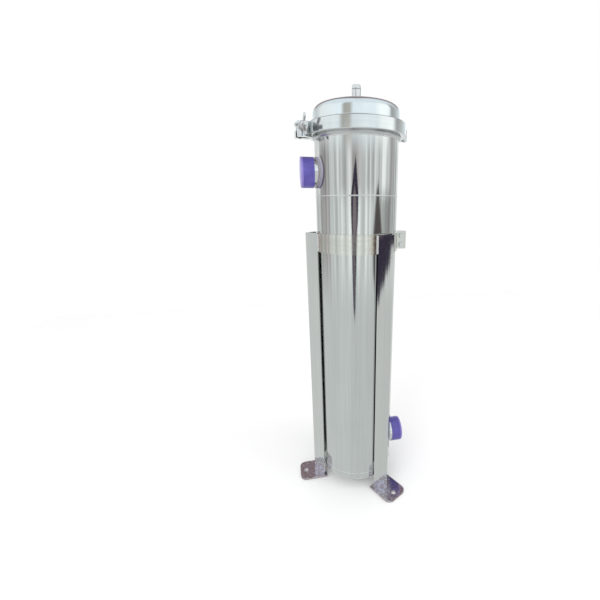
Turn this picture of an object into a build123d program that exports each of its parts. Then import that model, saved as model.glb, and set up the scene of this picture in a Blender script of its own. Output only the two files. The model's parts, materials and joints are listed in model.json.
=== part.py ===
from build123d import *
import math
import os

os.makedirs("parts", exist_ok=True)

# All lengths are millimetres. +Z is up, the origin is on the vessel axis at floor level.
# Angles are about Z from +X, so the inlet is at 180 and the outlet at 0.

# Vessel
SHELL_R = 109.5
WALL = 3.0
SHELL_LOW_Z = 60.0
MAIN_SHELL_H = 818.0
UPPER_SHELL_H = 135.0
HEAD_CROWN_R = 250.0
HEAD_KNUCKLE_R = 16.0
HEAD_STRAIGHT = 13.0

# Ports
PORT_R = 36.5
PORT_WALL = 3.0
PORT_REACH = 35.5
INLET_UP = 58.0
OUTLET_UP = 62.0

# Clamped joint at the lid
FLANGE_H = 23.5
RIM_W = 6.5
RIM_HALF = 5.0
HUB_W = 4.0
TAPER = math.tan(math.radians(20))
LAND_W = 3.5
GROOVE_W = 4.0
GROOVE_DEEP = 3.0
LEDGE_W = 7.5
LID_FLANGE_H = 18.5

# Lid and vent
LID_STEP = 2.2
LID_STRAIGHT = 11.0
LID_CROWN_R = 250.0
LID_KNUCKLE_R = 16.0
SOCKET_BORE_R = 8.3
SOCKET_WALL = 3.2
SOCKET_RISE = 31.0
PLUG_SHANK = 13.0
PLUG_HEAD_H = 7.0
SEAL_WASHER_T = 1.6

# Gaps between pieces that move on one another
FIT = 0.08
FACE_GAP = 0.3

# Clamp, drawn with its closure along +X and then turned to its place
CLAMP_TURN = 190.0
CLAMP_FLOOR_GAP = 1.5
CLAMP_LIP_GAP = 0.7
CLAMP_WALL = 5.5
CLAMP_HALF = 14.5
CLAMP_CHAMFER = 1.5
CLAMP_SPLIT = 2.0
HINGE_OUT = 14.0
KNUCKLE_R = 7.0
PIN_R = 3.5
KNUCKLE_HALF = 5.0
BOLT_OUT = 19.0
PIVOT_Y = -14.0
LUG_ROOT = 5.0
LUG_END_OUT = 30.0
LUG_TOP = 12.0
LUG_LOW = 22.0
LUG_GAP = 12.0
LUG_DEEP = 18.0
SEAT_REACH = 34.0
BOLT_R = 5.0
EYE_R = 9.0
EYE_HALF = 6.0
TRUNNION_R = 4.0
SLOT_CLEAR = 0.7
BOLT_REACH = 69.0
WASHER_R = 11.0
WASHER_T = 2.5
NUT_HUB_R = 9.0
NUT_HUB_H = 14.0
WING_T = 4.0

# Support band, legs and feet
BAND_T = 4.0
BAND_DROP = 94.0
BAND_H = 50.0
BAND_SPLIT = 6.0
EAR_W = 30.0
EAR_BOLT_OUT = 16.0
EAR_BOLT_RISE = 12.5
BAND_BOLT_R = 4.0
BAND_HOLE_R = 4.5
BAND_HEX = 13.0
BAND_HEAD_H = 5.5
BAND_WASHER_R = 8.0
BAND_WASHER_T = 1.6
LEG_ANGLES = (180.0, 300.0, 60.0)
LEG_SIDE = 40.0
LEG_T = 4.0
LEG_BITE = 0.5
FOOT_T = 6.0
FOOT_W = 76.0
FOOT_INSIDE = 4.5
FOOT_EDGE = 19.0
FOOT_CORNER_R = 19.0
FOOT_HOLE_R = 7.0
FOOT_HOLE_OUT = 60.5

# Filter inside
SEAT_T = 6.0
SEAT_BORE_GAP = 3.5
SEAL_LAND = 2.0
SEAL_W = 4.0
SEAL_DEEP = 2.0
BASKET_GAP = 24.0
BASKET_T = 1.5
BASKET_UP = 30.0
RIM_T = 6.0
BASKET_RIM_W = 14.5
BASKET_ROWS = 9
BASKET_COLUMNS = 5
BASKET_SLOT_W = 12.0
BASKET_SLOT_H = 60.0
BAG_GAP = 0.5
BAG_T = 2.0
COLLAR_T = 6.0
COLLAR_W = 9.5
HOLD_T = 6.0
HOLD_W = 21.0
HOLD_GAP = 1.5
HOLD_EDGE = 1.0
HOLD_POST_R = 4.0
HOLD_POSTS = 3

# Plastic caps on the ports
CAP_WALL = 1.5
CAP_END_T = 2.5
CAP_GRIP = 31.0
CAP_CORNER_R = 2.5

# Worked out from the sizes above
SEAM_Z = SHELL_LOW_Z + MAIN_SHELL_H
SHELL_TOP_Z = SEAM_Z + UPPER_SHELL_H
JOINT_Z = SHELL_TOP_Z + FLANGE_H
INLET_Z = SEAM_Z + INLET_UP
OUTLET_Z = SHELL_LOW_Z + OUTLET_UP
SHELL_BORE_R = SHELL_R - WALL
PORT_END = SHELL_R + PORT_REACH
GROOVE_IN_R = SHELL_BORE_R + LAND_W
GROOVE_OUT_R = GROOVE_IN_R + GROOVE_W
HUB_R = SHELL_R + HUB_W
RIM_R = HUB_R + RIM_W
LEDGE_R = SHELL_BORE_R - LEDGE_W
LID_R = SHELL_R + LID_STEP
SOCKET_R = SOCKET_BORE_R + SOCKET_WALL
CLAMP_FLOOR_R = RIM_R + CLAMP_FLOOR_GAP
CLAMP_R = CLAMP_FLOOR_R + CLAMP_WALL
HINGE_X = -(CLAMP_R + HINGE_OUT)
BOLT_X = CLAMP_R + BOLT_OUT
LUG_END = CLAMP_R + LUG_END_OUT
BAND_R = SHELL_R + BAND_T
BAND_TOP_Z = SEAM_Z - BAND_DROP
BAND_LOW_Z = BAND_TOP_Z - BAND_H
FOOT_HOLE_AT = SHELL_R + FOOT_HOLE_OUT
BASKET_R = SHELL_BORE_R - BASKET_GAP
SEAT_BORE_R = BASKET_R + SEAT_BORE_GAP
SEAL_IN = SEAT_BORE_R + SEAL_LAND
BASKET_LOW_Z = SHELL_LOW_Z + BASKET_UP
RIM_TOP_Z = SEAM_Z + RIM_T
COLLAR_TOP_Z = RIM_TOP_Z + COLLAR_T
HOLD_R = SHELL_BORE_R - HOLD_GAP
HOLD_POST_AT = HOLD_R - HOLD_EDGE - HOLD_POST_R


def upright(radius, z_low, z_high):
    """Solid cylinder about Z between two heights."""
    height = z_high - z_low
    return Pos(0, 0, z_low + height / 2) * Cylinder(radius, height)


def ring(r_out, r_in, z_low, z_high):
    """Plain ring about Z between two heights."""
    return upright(r_out, z_low, z_high) - upright(r_in, z_low - 1, z_high + 1)


def block(x0, x1, y0, y1, z0, z1):
    """Box between two corners."""
    middle = Pos((x0 + x1) / 2, (y0 + y1) / 2, (z0 + z1) / 2)
    return middle * Box(x1 - x0, y1 - y0, z1 - z0)


def along_y(radius, y0, y1, x, z):
    """Solid cylinder parallel to Y."""
    return Pos(x, (y0 + y1) / 2, z) * Rot(90, 0, 0) * Cylinder(radius, y1 - y0)


def along_x(radius, x0, x1, z):
    """Solid cylinder parallel to X over the vessel axis."""
    return Pos((x0 + x1) / 2, 0, z) * Rot(0, 90, 0) * Cylinder(radius, x1 - x0)


def turned(points):
    """Solid of revolution about Z from (radius, height) corners."""
    outline = Polyline([(r, 0, z) for r, z in points], close=True)
    return revolve(make_face(outline), Axis.Z)


def hex_y(across, y0, y1, x, z):
    """Hexagonal prism parallel to Y."""
    flat = Plane(origin=(x, y0, z), x_dir=(1, 0, 0), z_dir=(0, 1, 0))
    return extrude(flat * RegularPolygon(across / 2, 6, major_radius=False), y1 - y0)


def dish_edges(radius, crown, knuckle, inset):
    """Crown and knuckle arcs of a dished head, inset from its outside."""
    knuckle_x = radius - knuckle
    rise = math.sqrt((crown - knuckle) ** 2 - knuckle_x ** 2)
    turn = -math.atan2(rise, knuckle_x)
    big = crown - inset
    small = knuckle - inset
    half = (turn - math.pi / 2) / 2
    bottom = (0, 0, rise - big)
    mid_crown = (big * math.cos(half), 0, rise + big * math.sin(half))
    join = (big * math.cos(turn), 0, rise + big * math.sin(turn))
    mid_x = knuckle_x + small * math.cos(turn / 2)
    mid_knuckle = (mid_x, 0, small * math.sin(turn / 2))
    end = (radius - inset, 0, 0)
    return ThreePointArc(bottom, mid_crown, join), ThreePointArc(join, mid_knuckle, end)


def dish_depth(radius, crown, knuckle):
    """Depth of a dished head below its tangent line."""
    return crown - math.sqrt((crown - knuckle) ** 2 - (radius - knuckle) ** 2)


LID_TOP_Z = JOINT_Z + LID_FLANGE_H + LID_STRAIGHT + dish_depth(LID_R, LID_CROWN_R, LID_KNUCKLE_R)
SOCKET_TOP_Z = LID_TOP_Z + SOCKET_RISE


def dished(radius, crown, knuckle, straight):
    """Dished head opening upward, tangent line at zero height."""
    crown_out, knuckle_out = dish_edges(radius, crown, knuckle, 0)
    crown_in, knuckle_in = dish_edges(radius, crown, knuckle, WALL)
    top_out = (radius, 0, straight)
    top_in = (radius - WALL, 0, straight)
    sides = [
        Line(knuckle_out @ 1, top_out),
        Line(top_out, top_in),
        Line(top_in, knuckle_in @ 1),
        Line(crown_in @ 0, crown_out @ 0),
    ]
    return revolve(make_face([crown_out, knuckle_out, crown_in, knuckle_in] + sides), Axis.Z)


def bottom_head():
    """Dished bottom of the vessel."""
    head = dished(SHELL_R, HEAD_CROWN_R, HEAD_KNUCKLE_R, HEAD_STRAIGHT)
    return Pos(0, 0, SHELL_LOW_Z - HEAD_STRAIGHT) * head


def main_shell():
    """Long lower shell with the outlet hole."""
    tube = ring(SHELL_R, SHELL_BORE_R, SHELL_LOW_Z, SEAM_Z)
    return tube - along_x(PORT_R, 0, PORT_END, OUTLET_Z)


def upper_shell():
    """Short upper shell with the inlet hole."""
    tube = ring(SHELL_R, SHELL_BORE_R, SEAM_Z, SHELL_TOP_Z)
    return tube - along_x(PORT_R, -PORT_END, 0, INLET_Z)


def port(z):
    """Pipe stub toward +X, coped flush with the vessel bore."""
    pipe = along_x(PORT_R, 0, PORT_END, z) - along_x(PORT_R - PORT_WALL, -1, PORT_END + 1, z)
    return pipe - upright(SHELL_BORE_R, z - 2 * PORT_R, z + 2 * PORT_R)


def body_flange():
    """Ring on the upper shell with a tapered back and a gasket groove."""
    back = JOINT_Z - RIM_HALF
    slope = (RIM_R - HUB_R) * TAPER
    return turned([
        (SHELL_BORE_R, JOINT_Z), (GROOVE_IN_R, JOINT_Z), (GROOVE_IN_R, JOINT_Z - GROOVE_DEEP),
        (GROOVE_OUT_R, JOINT_Z - GROOVE_DEEP), (GROOVE_OUT_R, JOINT_Z), (RIM_R, JOINT_Z),
        (RIM_R, back), (HUB_R, back - slope), (HUB_R, SHELL_TOP_Z + HUB_R - SHELL_R),
        (SHELL_R, SHELL_TOP_Z), (SHELL_BORE_R, SHELL_TOP_Z),
    ])


def lid_gasket():
    """Gasket ring that fills the groove of the body flange."""
    return ring(GROOVE_OUT_R, GROOVE_IN_R, JOINT_Z - GROOVE_DEEP, JOINT_Z)


def lid_flange():
    """Lid ring with a tapered back and an inner ledge."""
    back = JOINT_Z + RIM_HALF
    slope = (RIM_R - HUB_R) * TAPER
    top = JOINT_Z + LID_FLANGE_H
    inside = LID_R - WALL
    return turned([
        (LEDGE_R, JOINT_Z), (RIM_R, JOINT_Z), (RIM_R, back), (HUB_R, back + slope),
        (HUB_R, top - HUB_R + LID_R), (LID_R, top), (inside, top),
        (inside, back + RIM_HALF), (LEDGE_R, back),
    ])


def lid_dome():
    """Domed lid with the hole for the vent socket."""
    dome = Rot(180, 0, 0) * dished(LID_R, LID_CROWN_R, LID_KNUCKLE_R, LID_STRAIGHT)
    hole = upright(SOCKET_R, JOINT_Z, LID_TOP_Z + 1)
    return Pos(0, 0, JOINT_Z + LID_FLANGE_H + LID_STRAIGHT) * dome - hole


def vent_socket():
    """Threaded socket through the middle of the lid."""
    socket = ring(SOCKET_R, SOCKET_BORE_R, LID_TOP_Z - WALL, SOCKET_TOP_Z)
    top_edge = socket.edges().group_by(Axis.Z)[-1].sort_by(SortBy.RADIUS)[-1]
    return chamfer(top_edge, 1)


def vent_washer():
    """Sealing washer under the vent plug."""
    low = SOCKET_TOP_Z + FACE_GAP
    return ring(SOCKET_R, SOCKET_BORE_R, low, low + SEAL_WASHER_T)


def vent_plug():
    """Hexagon plug that screws into the vent socket."""
    head_low = SOCKET_TOP_Z + SEAL_WASHER_T + 2 * FACE_GAP
    head = Pos(0, 0, head_low) * extrude(RegularPolygon(SOCKET_R, 6), PLUG_HEAD_H)
    cone = Pos(0, 0, head_low + PLUG_HEAD_H / 2) * Cone(SOCKET_R + PLUG_HEAD_H, SOCKET_R - 1, PLUG_HEAD_H)
    shank = upright(SOCKET_BORE_R - FIT, SOCKET_TOP_Z - PLUG_SHANK, head_low)
    return (head & cone) + shank


def clamp_ring():
    """Full clamp ring with the V groove that grips both flange backs."""
    lift = FACE_GAP / math.cos(math.atan(TAPER))
    groove_r = CLAMP_FLOOR_R
    inner_r = HUB_R + CLAMP_LIP_GAP
    deep = RIM_HALF + lift - (groove_r - RIM_R) * TAPER
    mouth = RIM_HALF + lift + (RIM_R - inner_r) * TAPER
    edge = CLAMP_R - CLAMP_CHAMFER
    low = CLAMP_HALF - CLAMP_CHAMFER
    half = [(inner_r, mouth), (inner_r, CLAMP_HALF), (edge, CLAMP_HALF), (CLAMP_R, low)]
    mirror = [(r, -z) for r, z in reversed(half)]
    points = [(groove_r, deep)] + half + mirror + [(groove_r, -deep)]
    return turned([(r, JOINT_Z + z) for r, z in points])


def clamp_side(side):
    """Half of the clamp ring on the +Y (1) or -Y (-1) side."""
    reach = 2 * CLAMP_R
    near, far = sorted((side * CLAMP_SPLIT / 2, side * reach))
    return clamp_ring() & block(-reach, reach, near, far, JOINT_Z - reach, JOINT_Z + reach)


def knuckle(z_low, z_high, side):
    """Hinge barrel with a web to its own clamp half."""
    barrel = Pos(HINGE_X, 0, 0) * upright(KNUCKLE_R, z_low, z_high)
    near, far = sorted((side * CLAMP_SPLIT / 2, side * KNUCKLE_R))
    inner = -(CLAMP_R - CLAMP_CHAMFER)
    return barrel + block(HINGE_X, inner, near, far, z_low, z_high)


def hinge_bore(radius):
    """Bore for the hinge pin."""
    return Pos(HINGE_X, 0, 0) * upright(radius, JOINT_Z - 2 * CLAMP_HALF, JOINT_Z + 2 * CLAMP_HALF)


def clamp_half_a():
    """Clamp half with the outer hinge barrels and the forked pivot lug."""
    top = knuckle(JOINT_Z + KNUCKLE_HALF, JOINT_Z + CLAMP_HALF, -1)
    low = knuckle(JOINT_Z - CLAMP_HALF, JOINT_Z - KNUCKLE_HALF, -1)
    near = -LUG_GAP / 2
    inner = CLAMP_R - LUG_ROOT
    lug = block(inner, LUG_END, near - LUG_DEEP, near, JOINT_Z - LUG_LOW, JOINT_Z + LUG_TOP)
    body = clamp_side(-1) + top + low + lug
    eye_room = EYE_HALF + FACE_GAP
    slot = block(
        BOLT_X - EYE_R - 1, 2 * LUG_END, near - 2 * LUG_DEEP, 0,
        JOINT_Z - eye_room, JOINT_Z + eye_room,
    )
    pin = Pos(BOLT_X, PIVOT_Y, 0) * upright(TRUNNION_R, 0, 2 * JOINT_Z)
    return CLAMP_PLACE * (body - hinge_bore(PIN_R) - slot - pin)


def clamp_half_b():
    """Clamp half with the middle hinge barrel and the slotted seat lug."""
    side = KNUCKLE_HALF - FACE_GAP
    middle = knuckle(JOINT_Z - side, JOINT_Z + side, 1)
    lug = block(
        CLAMP_R - LUG_ROOT, LUG_END, LUG_GAP / 2, SEAT_REACH,
        JOINT_Z - LUG_LOW, JOINT_Z + LUG_TOP,
    )
    seat = Pos(BOLT_X, PIVOT_Y, 0) * upright(SEAT_REACH, 0, 2 * JOINT_Z)
    body = clamp_side(1) + middle + (lug & seat)
    room = BOLT_R + SLOT_CLEAR
    slot = block(BOLT_X - room, 2 * LUG_END, 0, 2 * SEAT_REACH, JOINT_Z - room, JOINT_Z + room)
    return CLAMP_PLACE * (body - hinge_bore(PIN_R + FIT) - slot)


def hinge_pin():
    """Pin through the three hinge barrels."""
    pin = upright(PIN_R, JOINT_Z - CLAMP_HALF - 1, JOINT_Z + CLAMP_HALF + 1)
    return CLAMP_PLACE * Pos(HINGE_X, 0, 0) * pin


def trunnion_pin():
    """Pin through the forked lug that carries the swing bolt."""
    pin = upright(TRUNNION_R, JOINT_Z - LUG_LOW - 1, JOINT_Z + LUG_TOP + 1)
    return CLAMP_PLACE * Pos(BOLT_X, PIVOT_Y, 0) * pin


def swing_bolt():
    """Eye bolt that turns on the trunnion pin."""
    eye = Pos(BOLT_X, PIVOT_Y, 0) * upright(EYE_R, JOINT_Z - EYE_HALF, JOINT_Z + EYE_HALF)
    shank = along_y(BOLT_R, PIVOT_Y, PIVOT_Y + BOLT_REACH, BOLT_X, JOINT_Z)
    bore = Pos(BOLT_X, PIVOT_Y, 0) * upright(TRUNNION_R + FIT, 0, 2 * JOINT_Z)
    return CLAMP_PLACE * (eye + shank - bore)


def clamp_washer():
    """Washer between the wing nut and the seat lug."""
    y0 = PIVOT_Y + SEAT_REACH + FACE_GAP
    disc = along_y(WASHER_R, y0, y0 + WASHER_T, BOLT_X, JOINT_Z)
    return CLAMP_PLACE * (disc - along_y(BOLT_R + FIT, y0 - 1, y0 + 2 * WASHER_T, BOLT_X, JOINT_Z))


def wing(side, y0):
    """One wing of the nut, flared away from the washer."""
    outline = Polyline([
        (BOLT_X, y0 + 3, JOINT_Z + side * 5), (BOLT_X, y0 + 11, JOINT_Z + side * 18),
        (BOLT_X, y0 + 20, JOINT_Z + side * 24), (BOLT_X, y0 + 24, JOINT_Z + side * 23),
        (BOLT_X, y0 + 24, JOINT_Z + side * 16), (BOLT_X, y0 + 13, JOINT_Z + side * 5),
    ], close=True)
    return extrude(make_face(outline), WING_T / 2, dir=(1, 0, 0), both=True)


def wing_nut():
    """Wing nut on the swing bolt."""
    y0 = PIVOT_Y + SEAT_REACH + WASHER_T + 2 * FACE_GAP
    hub = along_y(NUT_HUB_R, y0, y0 + NUT_HUB_H, BOLT_X, JOINT_Z)
    body = hub + wing(1, y0) + wing(-1, y0)
    return CLAMP_PLACE * (body - along_y(BOLT_R + FIT, y0 - 1, y0 + 4 * NUT_HUB_H, BOLT_X, JOINT_Z))


def seat_ring():
    """Ring inside the seam that carries the basket, grooved for its seal."""
    body = ring(SHELL_BORE_R, SEAT_BORE_R, SEAM_Z - SEAT_T, SEAM_Z)
    return body - ring(SEAL_IN + SEAL_W, SEAL_IN, SEAM_Z - SEAL_DEEP, SEAM_Z + 1)


def basket_seal():
    """Seal ring in the groove of the seat ring."""
    return ring(SEAL_IN + SEAL_W, SEAL_IN, SEAM_Z - SEAL_DEEP, SEAM_Z)


def basket_rim():
    """Thick rim that rests on the seat ring."""
    return ring(BASKET_R + BASKET_RIM_W, BASKET_R, SEAM_Z, RIM_TOP_Z)


def basket():
    """Slotted basket tube with a closed bottom."""
    tube = ring(BASKET_R, BASKET_R - BASKET_T, BASKET_LOW_Z, RIM_TOP_Z)
    floor = upright(BASKET_R, BASKET_LOW_Z, BASKET_LOW_Z + BASKET_T)
    pitch = (SEAM_Z - SEAT_T - BASKET_LOW_Z) / BASKET_ROWS
    slot = Box(3 * BASKET_R, BASKET_SLOT_W, BASKET_SLOT_H)
    slots = [
        Pos(0, 0, BASKET_LOW_Z + (row + 0.5) * pitch) * Rot(0, 0, 180 * column / BASKET_COLUMNS) * slot
        for row in range(BASKET_ROWS)
        for column in range(BASKET_COLUMNS)
    ]
    return tube - slots + floor


def filter_bag():
    """Felt bag hanging inside the basket."""
    outer = BASKET_R - BASKET_T - BAG_GAP
    low = BASKET_LOW_Z + BASKET_T
    return ring(outer, outer - BAG_T, low, RIM_TOP_Z) + upright(outer, low, low + BAG_T)


def bag_collar():
    """Stiff collar at the mouth of the bag, on the basket rim."""
    inner = BASKET_R - BASKET_T - BAG_GAP - BAG_T
    return ring(BASKET_R + COLLAR_W, inner, RIM_TOP_Z, COLLAR_TOP_Z)


def hold_down():
    """Two rings joined by posts, held down by the lid."""
    low_ring = ring(HOLD_R, HOLD_R - HOLD_W, COLLAR_TOP_Z, COLLAR_TOP_Z + HOLD_T)
    top_in = HOLD_POST_AT - HOLD_POST_R - HOLD_EDGE
    body = low_ring + ring(HOLD_R, top_in, JOINT_Z - HOLD_T, JOINT_Z)
    post = Pos(HOLD_POST_AT, 0, 0) * upright(HOLD_POST_R, COLLAR_TOP_Z, JOINT_Z)
    return body + [Rot(0, 0, 360 * i / HOLD_POSTS) * post for i in range(HOLD_POSTS)]


def support_band():
    """Split band round the shell with two bolting ears."""
    mid = (BAND_LOW_Z + BAND_TOP_Z) / 2
    near = BAND_SPLIT / 2
    inner = SHELL_R + BAND_T / 2
    body = ring(BAND_R, SHELL_R, BAND_LOW_Z, BAND_TOP_Z)
    body -= block(0, 2 * BAND_R, -near, near, BAND_LOW_Z - 1, BAND_TOP_Z + 1)
    ear_end = BAND_R + EAR_W
    body += block(inner, ear_end, near, near + BAND_T, BAND_LOW_Z, BAND_TOP_Z)
    body += block(inner, ear_end, -near - BAND_T, -near, BAND_LOW_Z, BAND_TOP_Z)
    reach = BAND_SPLIT + 2 * BAND_T
    for rise in (-EAR_BOLT_RISE, EAR_BOLT_RISE):
        body -= along_y(BAND_HOLE_R, -reach, reach, BAND_R + EAR_BOLT_OUT, mid + rise)
    return body


def band_bolt(rise):
    """Hexagon bolt through both ears of the band."""
    z = (BAND_LOW_Z + BAND_TOP_Z) / 2 + rise
    x = BAND_R + EAR_BOLT_OUT
    face = BAND_SPLIT / 2 + BAND_T
    head = hex_y(BAND_HEX, -face - BAND_HEAD_H, -face, x, z)
    end = face + BAND_WASHER_T + 1.5 * BAND_HEX
    return head + along_y(BAND_BOLT_R, -face, end, x, z)


def band_washer(rise):
    """Washer under a nut of the band."""
    z = (BAND_LOW_Z + BAND_TOP_Z) / 2 + rise
    x = BAND_R + EAR_BOLT_OUT
    face = BAND_SPLIT / 2 + BAND_T
    disc = along_y(BAND_WASHER_R, face, face + BAND_WASHER_T, x, z)
    return disc - along_y(BAND_BOLT_R, 0, 2 * face + BAND_HEX, x, z)


def band_nut(rise):
    """Hexagon nut of the band."""
    z = (BAND_LOW_Z + BAND_TOP_Z) / 2 + rise
    x = BAND_R + EAR_BOLT_OUT
    face = BAND_SPLIT / 2 + BAND_T + BAND_WASHER_T
    body = hex_y(BAND_HEX, face, face + BAND_HEX / 2, x, z)
    return body - along_y(BAND_BOLT_R, 0, face + 2 * BAND_HEX, x, z)


def leg(angle):
    """Angle-section leg with its heel outward, coped to the band."""
    toe = LEG_T / math.sqrt(2)
    back = LEG_SIDE / math.sqrt(2)
    near_r = BAND_R - LEG_BITE
    heel = back + toe + math.sqrt(near_r ** 2 - (back - toe) ** 2)
    height = BAND_TOP_Z - FOOT_T
    low = Pos(-LEG_SIDE / 2, -LEG_SIDE / 2, 0) * Box(LEG_SIDE, LEG_SIDE, height)
    hollow = Pos(-LEG_SIDE / 2 - LEG_T, -LEG_SIDE / 2 - LEG_T, 0) * Box(LEG_SIDE, LEG_SIDE, height)
    section = Rot(0, 0, -45) * (low - hollow)
    body = Pos(heel, 0, FOOT_T + height / 2) * section
    return Rot(0, 0, angle) * (body - upright(BAND_R, BAND_LOW_Z, BAND_TOP_Z))


def foot(angle):
    """Foot plate with rounded outer corners and an anchor hole."""
    inner = SHELL_R - FOOT_INSIDE
    plate = block(inner, FOOT_HOLE_AT + FOOT_EDGE, -FOOT_W / 2, FOOT_W / 2, 0, FOOT_T)
    corners = plate.edges().filter_by(Axis.Z).group_by(Axis.X)[-1]
    plate = fillet(corners, FOOT_CORNER_R)
    return Rot(0, 0, angle) * (plate - Pos(FOOT_HOLE_AT, 0, 0) * Cylinder(FOOT_HOLE_R, 4 * FOOT_T))


def cap(z):
    """Plastic cap pushed over a port toward +X."""
    bore_r = PORT_R + FIT
    inside = PORT_END + FACE_GAP
    body = along_x(bore_r + CAP_WALL, PORT_END - CAP_GRIP, inside + CAP_END_T, z)
    rim = body.edges().group_by(Axis.X)[-1]
    return fillet(rim, CAP_CORNER_R) - along_x(bore_r, 0, inside, z)


CLAMP_PLACE = Rot(0, 0, CLAMP_TURN)
HALF_TURN = Rot(0, 0, 180)

PIECES = {
    "bottom_head": bottom_head(),
    "main_shell": main_shell(),
    "upper_shell": upper_shell(),
    "inlet_nipple": HALF_TURN * port(INLET_Z),
    "outlet_nipple": port(OUTLET_Z),
    "body_flange": body_flange(),
    "lid_gasket": lid_gasket(),
    "lid_flange": lid_flange(),
    "lid_dome": lid_dome(),
    "vent_socket": vent_socket(),
    "vent_washer": vent_washer(),
    "vent_plug": vent_plug(),
    "clamp_half_a": clamp_half_a(),
    "clamp_half_b": clamp_half_b(),
    "hinge_pin": hinge_pin(),
    "trunnion_pin": trunnion_pin(),
    "swing_bolt": swing_bolt(),
    "clamp_washer": clamp_washer(),
    "wing_nut": wing_nut(),
    "seat_ring": seat_ring(),
    "basket_seal": basket_seal(),
    "basket_rim": basket_rim(),
    "basket": basket(),
    "filter_bag": filter_bag(),
    "bag_collar": bag_collar(),
    "hold_down": hold_down(),
    "support_band": support_band(),
    "inlet_cap": HALF_TURN * cap(INLET_Z),
    "outlet_cap": cap(OUTLET_Z),
}
for place, rise in (("upper", EAR_BOLT_RISE), ("lower", -EAR_BOLT_RISE)):
    PIECES[f"band_bolt_{place}"] = band_bolt(rise)
    PIECES[f"band_washer_{place}"] = band_washer(rise)
    PIECES[f"band_nut_{place}"] = band_nut(rise)
for place, angle in zip(("inlet", "front", "rear"), LEG_ANGLES):
    PIECES[f"leg_{place}"] = leg(angle)
    PIECES[f"foot_{place}"] = foot(angle)
for name, piece in PIECES.items():
    export_step(piece, f"parts/{name}.step")
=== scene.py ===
# %% [markdown]
# # A bag filter housing in polished stainless steel
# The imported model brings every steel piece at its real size, already riding on the body that
# moves it. What is left for Blender is the finish of each surface, a fuller lid, the weld beads,
# the screw threads and the felt bag. Everything is in metres, with +Z up and the outlet
# towards +X.

# %% Load the frame
import json
import math

import bmesh
import bpy
import numpy as np
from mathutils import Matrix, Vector


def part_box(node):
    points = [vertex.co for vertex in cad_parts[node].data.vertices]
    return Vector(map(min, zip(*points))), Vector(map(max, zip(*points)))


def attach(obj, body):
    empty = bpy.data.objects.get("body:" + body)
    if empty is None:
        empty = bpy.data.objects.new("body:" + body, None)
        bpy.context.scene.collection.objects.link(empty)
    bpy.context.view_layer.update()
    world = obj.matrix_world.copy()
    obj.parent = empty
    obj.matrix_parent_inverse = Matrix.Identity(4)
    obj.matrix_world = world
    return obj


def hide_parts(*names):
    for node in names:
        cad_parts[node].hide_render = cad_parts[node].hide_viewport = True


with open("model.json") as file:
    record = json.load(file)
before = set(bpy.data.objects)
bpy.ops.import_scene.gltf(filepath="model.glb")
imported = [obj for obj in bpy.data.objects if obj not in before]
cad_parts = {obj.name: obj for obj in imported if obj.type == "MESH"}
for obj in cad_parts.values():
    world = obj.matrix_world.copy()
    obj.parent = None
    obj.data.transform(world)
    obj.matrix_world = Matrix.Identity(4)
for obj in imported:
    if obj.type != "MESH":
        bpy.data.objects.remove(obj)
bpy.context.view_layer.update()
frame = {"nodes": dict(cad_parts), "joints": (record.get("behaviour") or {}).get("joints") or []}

# %% [markdown]
# ## Making a mesh from arrays
# A grid of points with two parameters is the plainest way to make a tube, a bead or a cup.
# The points are worked out as one array, and the quads come from the row and column numbers,
# so no loop walks over single vertices.

# %% Grid mesh helper
def grid_faces(rows, columns, wrap_rows, wrap_columns):
    """Quads of a grid: corner (i, j) joins (i+1, j), (i+1, j+1) and (i, j+1), wrapped where asked."""
    i = np.arange(rows if wrap_rows else rows - 1)[:, None]
    j = np.arange(columns if wrap_columns else columns - 1)[None, :]
    i2, j2 = (i + 1) % rows, (j + 1) % columns
    corners = [i * columns + j, i2 * columns + j, i2 * columns + j2, i * columns + j2]
    return np.stack(np.broadcast_arrays(*corners), axis=-1).reshape(-1, 4)


def make_piece(name, points, wrap_rows=False, wrap_columns=True, caps=False):
    """Mesh object from a (rows, columns, 3) array of points; caps close the first and last row."""
    rows, columns = points.shape[:2]
    faces = grid_faces(rows, columns, wrap_rows, wrap_columns).tolist()
    if caps:
        faces.append(list(range(columns))[::-1])
        faces.append([(rows - 1) * columns + j for j in range(columns)])
    mesh = bpy.data.meshes.new(name)
    mesh.from_pydata(points.reshape(-1, 3).tolist(), [], faces)
    mesh.update()
    mesh.shade_smooth()
    piece = bpy.data.objects.new(name, mesh)
    bpy.context.scene.collection.objects.link(piece)
    return piece


def face_outwards(piece):
    """Turns the mesh's faces outwards, for a closed shape made from a grid."""
    work = bmesh.new()
    work.from_mesh(piece.data)
    bmesh.ops.recalc_face_normals(work, faces=work.faces)
    work.to_mesh(piece.data)
    work.free()


print("helpers ready")

# %% [markdown]
# ## Sizes from the frame
# Each size comes from the box of the node that has it, so the beads and threads stay with the
# steel if the model is resized.

# %% Sizes
def middle_and_half(node):
    """Centre and half size of a node's box."""
    low, high = (Vector(corner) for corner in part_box(node))
    return (low + high) / 2, (high - low) / 2


shell_r = middle_and_half("main_shell")[1].y
seam_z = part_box("main_shell")[1][2]
bottom_seam_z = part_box("main_shell")[0][2]
flange_seam_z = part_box("body_flange")[0][2]
lid_seam_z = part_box("lid_flange")[1][2]
lid_r = middle_and_half("lid_dome")[1].y
port_r = middle_and_half("outlet_nipple")[1].y
inlet_z = middle_and_half("inlet_nipple")[0].z
outlet_z = middle_and_half("outlet_nipple")[0].z
band_low_z, band_top_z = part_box("support_band")[0][2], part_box("support_band")[1][2]
band_r = middle_and_half("support_band")[1].y
foot_top_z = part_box("foot_inlet")[1][2]
print("shell radius", round(shell_r, 4), "band radius", round(band_r, 4), "seam", round(seam_z, 4))

# %% [markdown]
# ## The camera
# The housing is seen from a little above its middle, close enough for its sides to draw
# together downwards. A wide lens close by gives that, with a small shift that keeps the
# housing right of the middle of the frame.

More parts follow.
